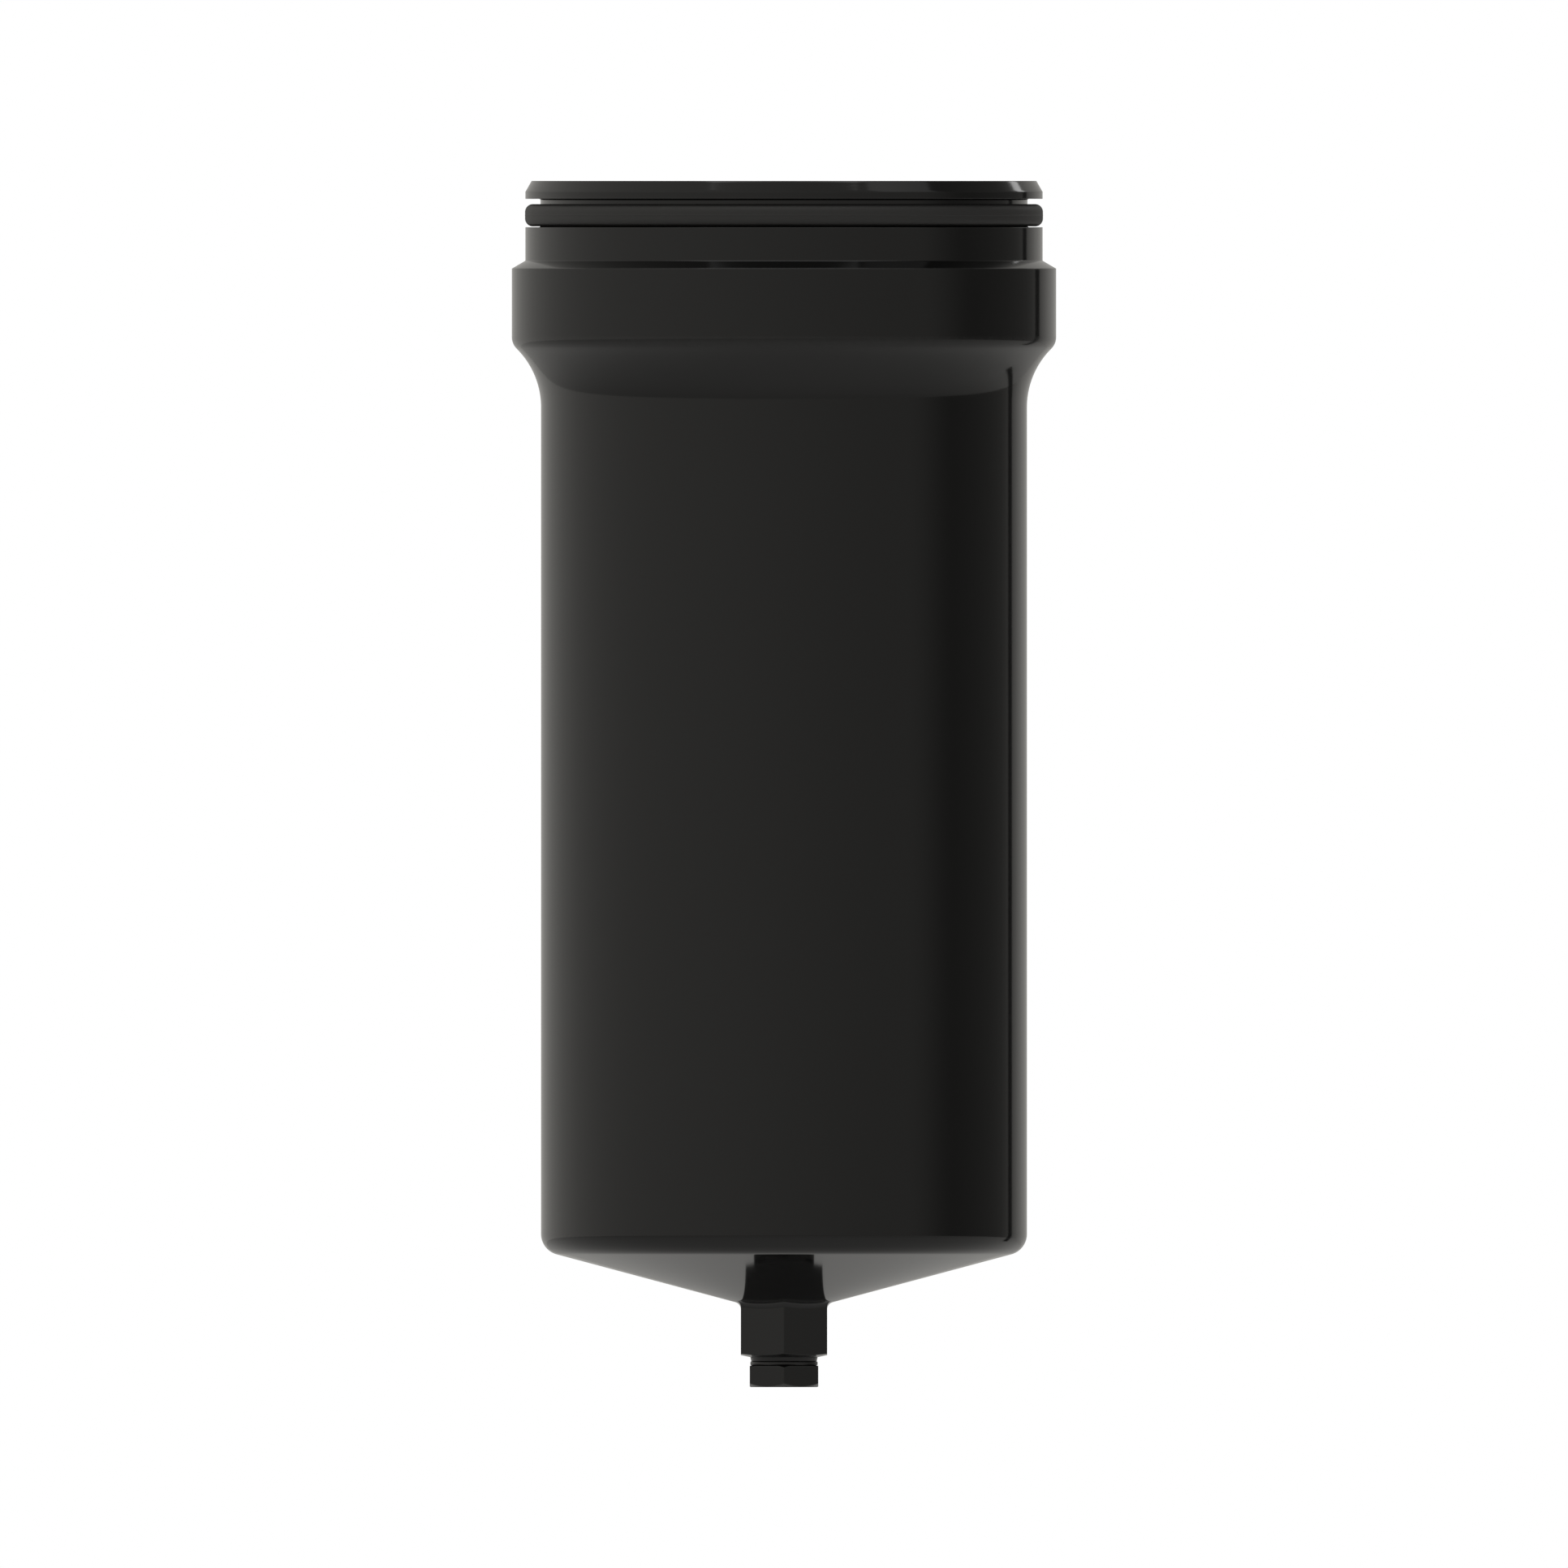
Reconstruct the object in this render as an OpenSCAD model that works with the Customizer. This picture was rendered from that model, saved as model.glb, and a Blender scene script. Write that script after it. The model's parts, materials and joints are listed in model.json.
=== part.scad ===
// Hydraulic reservoir bowl with a conical floor and a screw-down drain valve.
// The bowl hangs from a head by its neck. Millimetres, +Z up, on the Z axis.
// Z = 0 is the shoulder at the foot of the neck, where the neck meets the collar's chamfer.
// The plain shank and bores of the M6 and M10 threads are drawn at one diameter each.

/* [Bowl body] */
// Outside diameter of the straight body
body_d = 90; // [84:0.5:94]
// Depth of the straight body's lower end below the neck's shoulder
body_drop = 180.25; // [120:0.05:240]
// Wall thickness of the body and of the conical floor
wall = 3.5; // [3:0.1:4.5]
// Slope of the conical floor below the horizontal
cone_angle = 15; // [13:0.5:17]
// Outside radius of the heel between the body and the cone
heel_r = 3.9; // [2:0.1:6]

/* [Neck and collar] */
// Diameter of the neck that plugs into the head
neck_d = 95.8; // [95.5:0.1:97]
// Height of the rim's top face above the shoulder
neck_h = 14.78; // [14:0.02:18]
// Height of the chamfer around the rim
rim_chamfer_h = 2.03; // [1:0.01:2.5]
// Diameter of the rim's flat top face
rim_top_d = 93.5; // [92:0.1:95]
// Height of the O-ring groove's lower side above the shoulder
groove_z = 6.2; // [5:0.05:7]
// Width of the O-ring groove
groove_w = 5.25; // [4.8:0.05:5.6]
// Diameter of the O-ring groove's floor
groove_d = 90.2; // [89.8:0.05:91]
// Diameter of the collar
collar_d = 100.8; // [100:0.1:104]
// Height of the chamfer between the neck and the collar
collar_chamfer_h = 1.46; // [1:0.01:2]
// Radius of the hollow flare between the collar and the body
flare_r = 15.3; // [14:0.1:18]
// Depth at which the flare runs out into the straight body
flare_drop = 27.15; // [26:0.05:34]
// Radius of the collar's round lower edge
collar_edge_r = 3; // [1:0.1:4]

/* [Drain boss] */
// Width across the flats of the hexagonal drain boss
boss_af = 16; // [15:0.1:18]
// Depth of the boss's lower face below the end of the straight body
boss_reach = 22.8; // [22:0.1:28]
// Diameter of the flat circle in the middle of the boss's slightly conical lower face
boss_face_d = 12.6; // [12.6:0.1:14.8]
// Size of the blend where the boss meets the cone
boss_blend = 1.3; // [0.5:0.1:1.5]

/* [Drain valve] */
// Width across the flats of the drain screw's head
head_af = 12.7; // [12.2:0.1:13]
// Height of the drain screw's hexagonal head
head_h = 3.98; // [3:0.02:6]
// Outside diameter of the bushing's flange and of the head washer
flange_d = 12.48; // [12:0.02:12.6]
// Axial travel of the drain screw from shut to fully open
travel = 1.5; // [1:0.1:1.5]
// Diameter of the threaded outlet in the drain screw's head
outlet_d = 4.2; // [3.4:0.1:4.4]

/* [Hidden] */

$fn = 120;
eps = 0.01;        // overlap that joins two pieces of one solid
contact = 0.02;    // gap left between surfaces that touch on the real object
run = 0.05;        // radial clearance of surfaces that turn or slide

// Bowl, outside
body_r = body_d / 2;
neck_r = neck_d / 2;
collar_r = collar_d / 2;
groove_r = groove_d / 2;
cone_tan = tan(cone_angle);
heel_x = body_r - heel_r;                                    // heel arc's centre
heel_end_x = heel_x + heel_r * sin(cone_angle);              // heel runs into the cone
heel_end_z = -body_drop - heel_r * cos(cone_angle);
apex_z = heel_end_z - heel_end_x * cone_tan;                 // outer cone's point
flare_x = body_r + flare_r;                                  // flare arc's centre
edge_x = collar_r - collar_edge_r;                           // collar edge's centre
edge_reach = flare_r + collar_edge_r;
edge_z = -flare_drop + sqrt(pow(edge_reach, 2) - pow(flare_x - edge_x, 2));
touch_x = flare_x - (flare_x - edge_x) * flare_r / edge_reach;   // edge meets flare
touch_z = -flare_drop + (edge_z + flare_drop) * flare_r / edge_reach;

// Bowl, inside
bore_r = body_r - wall;
floor_apex_z = apex_z + wall / cos(cone_angle);
inner_heel_r = 2;
inner_heel_x = bore_r - inner_heel_r;
inner_end_x = inner_heel_x + inner_heel_r * sin(cone_angle);
inner_end_z = floor_apex_z + inner_end_x * cone_tan;
inner_heel_z = inner_end_z + inner_heel_r * cos(cone_angle);
mouth_chamfer = 1;

// Drain boss and the bore through it, heights counted up from the boss's lower face
boss_z = -body_drop - boss_reach;
boss_face_angle = 12;               // slope of the boss's lower face outside its flat circle
pocket_z = boss_z + 11.2;           // floor of the strainer's pocket
pocket_r = 6.5;
pocket_h = 6;                       // reaches past the conical floor into the bowl
pocket_groove_z = pocket_z + 1.3;   // snap ring's groove in the pocket's wall
pocket_groove_w = 0.9;
pocket_groove_deep = 0.4;
step_z = boss_z + 7.6;              // boss bore steps down to the seal bore
step_h = 0.3;
boss_thread_r = 5;                  // M10 x 1
seal_bore_r = 4.45;

// Bushing
flange_r = flange_d / 2;
flange_h = 0.73;
flange_foot_r = flange_r - 0.16;
spigot_z = boss_z + 11;             // bushing's upper end
spigot_r = seal_bore_r - run;
spigot_step_z = step_z - step_h;
spigot_seal_z = spigot_z - 0.5;     // upper side of the bushing's O-ring groove
gland_deep = 0.75;
seat_h = 1.2;                       // thickness of the pressed-in seat
seat_z = spigot_z - seat_h;         // seat's lower face
seat_r = 3.1;
chamber_r = 2.8;
ledge_z = boss_z + 5.3;             // ledge that stops the stem's clip
thread_r = 2.5;                     // M6 x 1, drawn at the minor diameter
thread_end_z = boss_z + 3.2;
stem_bore_r = 3.4;

// Drain screw, shut
head_top_z = boss_z - 1.58;
head_z = head_top_z - head_h;
head_chamfer_angle = 30;
head_face_r = head_af / 2 - 0.2;    // flat circle inside the head's lower chamfer
head_seat_r = head_af / 2 + 0.5;    // the same inside its upper chamfer
washer_top_z = boss_z - flange_h - contact;
land_r = stem_bore_r - run;
land_top_z = thread_end_z - 0.2;
stem_groove_z = boss_z + 1.15;
stem_groove_r = 2.6;
clip_z = ledge_z + travel;          // lower face of the clip
clip_t = 0.4;
clip_gap = 1.2;                     // opening on one side of the clip
clip_groove_r = 1.25;
clip_play = 0.1;                    // axial play of the clip in its groove
nose_top_z = seat_z - 1.22;
nose_r = 1.6;
tip_r = 1.1;                        // neck under the tip's button
button_r = 1.5;
button_z = nose_top_z + 0.5;
button_h = 0.25;
duct_r = 1;
cross_duct_r = 0.5;
cross_duct_z = nose_top_z - 0.7;
outlet_top_z = washer_top_z;
outlet_cone_h = 0.65;               // from the outlet's tapping hole down to the duct
outlet_chamfer = 0.4;

// Strainer
hat_seat_r = 5.05;                  // inside of the frame's lip, which holds the hat
frame_plate_h = 0.8;
frame_h = 1.9;

// O-rings of the valve: 1 mm section squeezed to gland depth
gland_w = 1.3;
small_ring_h = 1.2;
small_ring_edge = 0.35;

module ring(r_in, r_out, h) {
    rotate_extrude() translate([r_in, 0]) square([r_out - r_in, h]);
}

// Rectangle with rounded corners, made of true arcs
module rounded_box(w, h, r) {
    translate([r, 0]) square([w - 2 * r, h]);
    translate([0, r]) square([w, h - 2 * r]);
    for (x = [r, w - r], y = [r, h - r]) translate([x, y]) circle(r);
}

// Squeezed O-ring standing on Z = 0
module squeezed_ring(r_in, r_out, h, edge_r) {
    rotate_extrude() translate([r_in, 0]) rounded_box(r_out - r_in, h, edge_r);
}

// Hexagonal prism with flats towards +X and -X
module hexagon(af, h) {
    rotate(30) cylinder(r = af / sqrt(3), h = h, $fn = 6);
}

// What a turned chamfer leaves: a cone that opens upwards from a flat circle to out_r
module chamfer_cone(face_r, angle, out_r, h) {
    cone_h = (out_r - face_r) * tan(angle);
    rotate_extrude() polygon([
        [0, 0], [face_r, 0], [out_r, cone_h], [out_r, h], [0, h],
    ]);
}

module bowl_neck_outline() {
    polygon([
        [0, -collar_chamfer_h], [0, neck_h], [rim_top_d / 2, neck_h],
        [neck_r, neck_h - rim_chamfer_h], [neck_r, groove_z + groove_w],
        [groove_r, groove_z + groove_w], [groove_r, groove_z], [neck_r, groove_z],
        [neck_r, 0], [collar_r, -collar_chamfer_h],
    ]);
}

module bowl_collar_outline() {
    translate([0, edge_z]) square([collar_r, -collar_chamfer_h - edge_z]);
    translate([edge_x, edge_z]) circle(collar_edge_r);
    difference() {
        polygon([
            [0, -flare_drop], [body_r, -flare_drop], [touch_x, touch_z],
            [edge_x, edge_z], [0, edge_z],
        ]);
        translate([flare_x, -flare_drop]) circle(flare_r);
    }
}

module bowl_body_outline() {
    translate([0, -body_drop]) square([body_r, body_drop - flare_drop]);
    translate([heel_x, -body_drop]) circle(heel_r);
    polygon([
        [0, -body_drop], [heel_x, -body_drop], [heel_end_x, heel_end_z], [0, apex_z],
    ]);
}

module bowl_cavity_outline() {
    translate([0, inner_heel_z]) square([bore_r, neck_h + 1 - inner_heel_z]);
    translate([inner_heel_x, inner_heel_z]) circle(inner_heel_r);
    polygon([
        [0, inner_heel_z], [inner_heel_x, inner_heel_z], [inner_end_x, inner_end_z],
        [0, floor_apex_z],
    ]);
    polygon([
        [0, neck_h - mouth_chamfer], [bore_r, neck_h - mouth_chamfer],
        [bore_r + mouth_chamfer, neck_h], [bore_r + mouth_chamfer, neck_h + 1],
        [0, neck_h + 1],
    ]);
}

module drain_boss() {
    boss_top_z = apex_z + boss_af / sqrt(3) * cone_tan + 0.4;
    intersection() {
        translate([0, 0, boss_z]) hexagon(boss_af, boss_top_z - boss_z);
        translate([0, 0, boss_z])
            chamfer_cone(boss_face_d / 2, boss_face_angle, boss_af, boss_top_z - boss_z);
    }
}

// Blend of one flat slope all round the hexagon
module boss_blend_ring() {
    blend_z = apex_z + boss_af / 2 * cone_tan - boss_blend;
    corner_r = boss_af / sqrt(3);
    reach = boss_blend * 1.6;
    rotate(30) translate([0, 0, blend_z])
        cylinder(r1 = corner_r, r2 = corner_r + reach, h = reach, $fn = 6);
}

module drain_bore() {
    translate([0, 0, pocket_z]) cylinder(r = pocket_r, h = pocket_h);
    translate([0, 0, pocket_groove_z])
        cylinder(r = pocket_r + pocket_groove_deep, h = pocket_groove_w);
    translate([0, 0, boss_z]) cylinder(r = seal_bore_r, h = pocket_z - boss_z + eps);
    translate([0, 0, boss_z - 1]) cylinder(r = boss_thread_r, h = step_z - boss_z + 1);
    translate([0, 0, step_z - eps])
        cylinder(r1 = boss_thread_r, r2 = seal_bore_r, h = step_h);
}

module reservoir_bowl() color([0.13, 0.13, 0.125]) {
    difference() {
        union() {
            rotate_extrude() {
                bowl_neck_outline();
                bowl_collar_outline();
                bowl_body_outline();
            }
            drain_boss();
            boss_blend_ring();
        }
        rotate_extrude() bowl_cavity_outline();
        drain_bore();
    }
}

module bowl_o_ring() color([0.2, 0.2, 0.19]) {
    ring_h = 4.13;
    proud = 0.06;       // how far the ring stands out of the neck
    edge_r = 1.4;
    translate([0, 0, groove_z + 0.15])
        squeezed_ring(groove_r + contact, neck_r + proud, ring_h, edge_r);
}

module drain_bushing() color([0.16, 0.16, 0.15]) {
    foot_z = boss_z - flange_h;
    groove_foot_z = spigot_seal_z - gland_w;
    groove_floor_r = spigot_r - gland_deep;
    rotate_extrude() polygon([
        [flange_foot_r, foot_z], [flange_r, boss_z], [boss_thread_r - run, boss_z],
        [boss_thread_r - run, spigot_step_z], [spigot_r, spigot_step_z + 0.25],
        [spigot_r, groove_foot_z], [groove_floor_r, groove_foot_z],
        [groove_floor_r, spigot_seal_z], [spigot_r, spigot_seal_z],
        [spigot_r, spigot_z - 0.2], [spigot_r - 0.2, spigot_z],
        [seat_r, spigot_z], [seat_r, seat_z], [chamber_r, seat_z],
        [chamber_r, ledge_z], [thread_r, ledge_z], [thread_r, thread_end_z],
        [stem_bore_r, thread_end_z], [stem_bore_r, foot_z + 0.25],
        [stem_bore_r + 0.25, foot_z],
    ]);
}

module bushing_o_ring() color([0.09, 0.09, 0.09])
    translate([0, 0, spigot_seal_z - gland_w + run])
        squeezed_ring(spigot_r - gland_deep + contact, seal_bore_r - contact,
                      small_ring_h, small_ring_edge);

module valve_seat() color([0.7, 0.69, 0.66]) {
    hole_r = 1.2;
    mouth_r = 1.6;
    rotate_extrude() polygon([
        [mouth_r, seat_z], [seat_r - contact, seat_z], [seat_r - contact, spigot_z],
        [hole_r + 0.5, spigot_z], [hole_r, spigot_z - 0.35],
        [hole_r, seat_z + mouth_r - hole_r],
    ]);
}

module drain_screw() color([0.14, 0.14, 0.135]) {
    difference() {
        union() {
            intersection() {
                translate([0, 0, head_z]) hexagon(head_af, head_h);
                translate([0, 0, head_z])
                    chamfer_cone(head_face_r, head_chamfer_angle, head_af, head_h);
                translate([0, 0, head_top_z]) mirror([0, 0, 1])
                    chamfer_cone(head_seat_r, head_chamfer_angle, head_af, head_h);
            }
            rotate_extrude() screw_stem_outline();
        }
        translate([0, 0, head_z - 1])
            cylinder(d = outlet_d, h = outlet_top_z - head_z + 1);
        translate([0, 0, outlet_top_z - eps])
            cylinder(r1 = outlet_d / 2, r2 = duct_r, h = outlet_cone_h);
        translate([0, 0, head_z]) cylinder(r = duct_r, h = cross_duct_z - head_z);
        translate([0, 0, cross_duct_z]) rotate([0, 90, 0])
            cylinder(r = cross_duct_r, h = 2 * thread_r, center = true);
        translate([0, 0, head_z - eps])
            cylinder(r1 = outlet_d / 2 + outlet_chamfer, r2 = outlet_d / 2, h = outlet_chamfer);
    }
}

module screw_stem_outline() {
    stem_r = thread_r - run;
    clip_foot_z = clip_z - clip_play;
    clip_top_z = clip_z + clip_t - eps;
    polygon([
        [0, head_top_z - eps], [land_r, head_top_z - eps], [land_r, stem_groove_z],
        [stem_groove_r, stem_groove_z], [stem_groove_r, stem_groove_z + gland_w],
        [land_r, stem_groove_z + gland_w], [land_r, land_top_z - 0.15],
        [land_r - 0.15, land_top_z], [stem_r, land_top_z], [stem_r, clip_z - 0.35],
        [stem_r - 0.25, clip_foot_z], [clip_groove_r, clip_foot_z],
        [clip_groove_r, clip_top_z], [nose_r, clip_top_z],
        [nose_r, nose_top_z], [tip_r, nose_top_z], [tip_r, button_z],
        [button_r, button_z], [button_r, button_z + button_h / 2],
        [button_r - button_h / 2, button_z + button_h], [0, button_z + button_h],
    ]);
}

module stem_o_ring() color([0.09, 0.09, 0.09])
    translate([0, 0, stem_groove_z + run])
        squeezed_ring(stem_groove_r + contact, stem_bore_r - contact,
                      small_ring_h, small_ring_edge);

// Flat ring, open on one side, that snaps over the stem's nose
module stem_clip() color([0.62, 0.62, 0.6])
    translate([0, 0, clip_z]) difference() {
        ring(clip_groove_r + contact, chamber_r - 2 * run, clip_t - contact);
        translate([0, -clip_gap / 2, -1]) cube([chamber_r + 1, clip_gap, 2]);
    }

module valve_pad() color([0.9, 0.88, 0.82]) {
    pad_r = 2.3;
    pad_top_z = seat_z - contact;
    edge = 0.15;
    peg_tip_r = 0.95;   // the peg that centres the pad in the seat's mouth
    peg_foot_r = 1.35;
    peg_h = 0.35;
    rotate_extrude() polygon([
        [0, button_z + button_h + run], [button_r + run, button_z + button_h + run],
        [button_r + run, button_z - run], [tip_r + run, button_z - run],
        [tip_r + run, nose_top_z + run], [pad_r - edge, nose_top_z + run],
        [pad_r, nose_top_z + run + edge], [pad_r, pad_top_z - edge],
        [pad_r - edge, pad_top_z], [peg_foot_r, pad_top_z],
        [peg_tip_r, pad_top_z + peg_h], [0, pad_top_z + peg_h],
    ]);
}

module head_washer() color([0.12, 0.12, 0.115])
    translate([0, 0, head_top_z + contact])
        squeezed_ring(land_r + run + contact, flange_r,
                      washer_top_z - head_top_z - contact, 0.2);

module strainer_frame() color([0.62, 0.62, 0.6]) {
    plate_r = pocket_r - 2 * run;
    hole_r = 4.6;
    lip_r = hat_seat_r + 0.4;
    translate([0, 0, pocket_z]) rotate_extrude() polygon([
        [hole_r, 0], [plate_r, 0], [plate_r, frame_plate_h], [lip_r, frame_plate_h],
        [lip_r, frame_h], [hat_seat_r, frame_h], [hat_seat_r, frame_plate_h],
        [hole_r, frame_plate_h],
    ]);
}

// Domed hat of wire cloth, drawn as a thin shell
module strainer_gauze() color([0.7, 0.7, 0.68]) {
    hat_r = hat_seat_r - contact;
    cloth_t = 0.25;
    hat_h = 4.2;
    round_r = 1.6;
    translate([0, 0, pocket_z + frame_plate_h + contact]) rotate_extrude() {
        translate([hat_r - cloth_t, 0]) square([cloth_t, hat_h - round_r]);
        translate([0, hat_h - cloth_t]) square([hat_r - round_r, cloth_t]);
        translate([hat_r - round_r, hat_h - round_r]) intersection() {
            difference() {
                circle(round_r);
                circle(round_r - cloth_t);
            }
            square(round_r);
        }
    }
}

// Round-wire snap ring, open on one side, in the pocket's groove
module strainer_clip() color([0.62, 0.62, 0.6]) {
    wire_r = 0.4;
    gap_angle = 40;
    translate([0, 0, pocket_groove_z + pocket_groove_w / 2]) rotate([0, 0, gap_angle / 2])
        rotate_extrude(angle = 360 - gap_angle)
            translate([pocket_r - contact, 0]) circle(wire_r);
}

reservoir_bowl();
bowl_o_ring();
drain_bushing();
bushing_o_ring();
valve_seat();
drain_screw();
stem_o_ring();
stem_clip();
valve_pad();
head_washer();
strainer_frame();
strainer_gauze();
strainer_clip();
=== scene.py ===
import json
import math
from collections import namedtuple

import bmesh
import bpy
import numpy as np
from mathutils import Matrix, Vector


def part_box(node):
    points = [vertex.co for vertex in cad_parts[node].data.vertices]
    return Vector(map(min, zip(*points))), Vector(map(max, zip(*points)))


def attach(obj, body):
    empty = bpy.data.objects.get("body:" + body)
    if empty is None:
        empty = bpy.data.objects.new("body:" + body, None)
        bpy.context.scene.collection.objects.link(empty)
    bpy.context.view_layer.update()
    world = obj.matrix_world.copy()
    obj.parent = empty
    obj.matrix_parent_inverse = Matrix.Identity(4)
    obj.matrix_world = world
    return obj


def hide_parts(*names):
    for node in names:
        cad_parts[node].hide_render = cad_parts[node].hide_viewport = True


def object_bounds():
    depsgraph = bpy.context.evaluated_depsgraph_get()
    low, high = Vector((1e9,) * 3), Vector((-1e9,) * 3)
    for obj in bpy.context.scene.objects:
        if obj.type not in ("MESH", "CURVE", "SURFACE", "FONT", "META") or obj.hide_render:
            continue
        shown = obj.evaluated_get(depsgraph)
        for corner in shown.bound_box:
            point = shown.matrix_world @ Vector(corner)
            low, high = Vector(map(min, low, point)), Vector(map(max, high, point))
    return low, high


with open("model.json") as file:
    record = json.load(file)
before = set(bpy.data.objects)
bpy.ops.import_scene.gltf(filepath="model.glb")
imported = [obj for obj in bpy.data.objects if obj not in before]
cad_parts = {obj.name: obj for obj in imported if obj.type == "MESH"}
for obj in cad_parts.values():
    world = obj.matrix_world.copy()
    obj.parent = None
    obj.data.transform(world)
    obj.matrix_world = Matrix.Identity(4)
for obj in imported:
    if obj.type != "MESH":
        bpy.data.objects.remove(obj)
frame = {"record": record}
cad_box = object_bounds()

# Meshes are worked out in millimetres and made in metres.
MM = 0.001


# ---------------------------------------------------------------------------
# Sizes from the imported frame, in millimetres
# ---------------------------------------------------------------------------

def node_box(node):
    """Lowest and highest corner of a CAD node in millimetres."""
    low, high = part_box(node)
    return low / MM, high / MM


def mount(name):
    return next(m for m in frame["record"]["mounts"] if m["name"] == name)


bowl_low, bowl_high = node_box("reservoir_bowl")
seal_low, seal_high = node_box("bowl_o_ring")
bushing_low, bushing_high = node_box("drain_bushing")
screw_low, _ = node_box("drain_screw")
_, washer_high = node_box("head_washer")
seat_low, seat_high = node_box("valve_seat")
pad_low, pad_high = node_box("valve_pad")
clip_low, clip_high = node_box("stem_clip")
frame_low, frame_high = node_box("strainer_frame")
gauze_low, gauze_high = node_box("strainer_gauze")
snap_low, snap_high = node_box("strainer_clip")

RIM_Z = bowl_high.z
BOSS_Z = bowl_low.z
COLLAR_R = bowl_high.x
NECK_R = mount("neck_spigot")["dims"]["r_mm"]
BODY_R = mount("body_band")["dims"]["r_mm"]
BORE_R = mount("mouth_bore")["dims"]["r_mm"]
OUTLET_R = mount("drain_outlet")["dims"]["r_mm"]

# Bowl, outside
CONE_ANGLE = math.radians(15)
CONE_TAN = math.tan(CONE_ANGLE)
HEEL_R = 3.9
HEEL_Z = -180.25           # where the straight body ends
RIM_TOP_R = 46.75
RIM_CHAMFER = 2.03
GROOVE_R = 45.1
GROOVE_LOW, GROOVE_HIGH = 6.2, 11.45
SHOULDER_CHAMFER = 1.46
FLARE_R = 15.3
FLARE_Z = -27.15           # where the flare runs into the body
COLLAR_EDGE_R = 3.0
EDGE_BREAK = 0.1           # round left on turned edges

# Bowl, inside
WALL = BODY_R - BORE_R
MOUTH_CHAMFER = 1.0
INNER_HEEL_R = 2.0
POCKET_R, POCKET_Z = 6.5, BOSS_Z + 11.2
SNAP_GROOVE_R = POCKET_R + 0.4
SNAP_GROOVE_LOW, SNAP_GROOVE_HIGH = POCKET_Z + 1.3, POCKET_Z + 2.2
SEAL_BORE_R = 4.45

# Hexagons, with flats towards +X and -X
BOSS_FLAT, BOSS_FACE_R, BOSS_BLEND = 8.0, 6.3, 1.35
HEAD_FLAT, HEAD_FACE_R = 6.35, 6.15
HEX_ROUND = 0.16
HEX_CHAMFER_TAN = math.tan(math.radians(30))
BOSS_FACE_TAN = math.tan(math.radians(12))

# Threads: (root radius, crest radius, pitch)
BOSS_THREAD = (4.45, 5.0, 1.0)
BUSHING_THREAD = (4.4, 4.95, 1.0)
SEAT_THREAD = (2.5, 3.03, 1.0)
STEM_THREAD = (2.42, 2.95, 1.0)
OUTLET_THREAD = (OUTLET_R, 2.5, 0.8)


# ---------------------------------------------------------------------------
# Turned surfaces
# ---------------------------------------------------------------------------

Corner = namedtuple("Corner", "r z round", defaults=(0.0,))
Arc = namedtuple("Arc", "points wear", defaults=(0.0,))

FULL_TURN = 2 * math.pi
HOLD = 0.3                 # rows this close to a bend keep long flats evenly shaded
COARSE_STEP = math.radians(20)
FINE_STEP = math.radians(5)
WEAR_ROUND = 0.7           # outer edges rounder than this show no wear
SHARP_ANGLE = 32           # degrees between faces at which an edge is shaded sharp


def turn_angles(count, hexagon=None):
    """Angles of the columns round the axis, closer together at a hexagon's corners."""
    angles = set(round(FULL_TURN * i / count, 6) for i in range(count))
    if hexagon:
        reach = corner_reach(hexagon)
        hold = math.radians(1.1)
        for side in range(6):
            middle = math.radians(30 + 60 * side)
            for offset in (-reach - hold, -reach, -reach / 2, reach / 2, reach, reach + hold):
                angles.add(round(middle + offset, 6))
    return np.array(sorted(angles))


def corner_reach(flat):
    """Half the angle that a hexagon's rounded corner takes up, seen from the axis."""
    centre = (flat - HEX_ROUND) / math.cos(math.radians(30))
    side = HEX_ROUND * math.sin(math.radians(30))
    return math.atan2(side, centre + HEX_ROUND * math.cos(math.radians(30)))


def hexagon_radius(angles, flat):
    """Distance from the axis to a hexagon with slightly rounded corners."""
    off_flat = angles - np.radians(60) * np.round(angles / np.radians(60))
    off_corner = np.radians(30) - np.abs(off_flat)
    centre = (flat - HEX_ROUND) / math.cos(math.radians(30))
    chord = np.maximum(HEX_ROUND ** 2 - (centre * np.sin(off_corner)) ** 2, 0)
    in_corner = off_corner < corner_reach(flat) + 1e-6
    return np.where(in_corner, centre * np.cos(off_corner) + np.sqrt(chord),
                    flat / np.cos(off_flat))


def bend(before, here, after, radius):
    """Arc that rounds a corner in each column, and the wear that an outer edge gets."""
    back, on = before - here, after - here
    back = back / np.linalg.norm(back, axis=0)
    on = on / np.linalg.norm(on, axis=0)
    between = np.arccos(np.clip((back * on).sum(0), -1, 1))
    middle = back + on
    middle = middle / np.linalg.norm(middle, axis=0)
    centre = here + middle * radius / np.sin(between / 2)
    start = here + back * radius / np.tan(between / 2)
    end = here + on * radius / np.tan(between / 2)
    from_centre = (start - centre, end - centre)
    turn = math.pi - between
    step = COARSE_STEP if radius < 1 else FINE_STEP
    count = max(2, math.ceil(turn.max() / step))
    arc = []
    for i in range(count + 1):
        share = i / count
        a = np.sin((1 - share) * turn) / np.sin(turn)
        b = np.sin(share * turn) / np.sin(turn)
        arc.append(centre + a * from_centre[0] + b * from_centre[1])
    cross = (-back[0] * on[1] + back[1] * on[0]).mean()
    worn = cross > 0 and radius < WEAR_ROUND
    return arc, 1.0 if worn else 0.0


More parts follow.
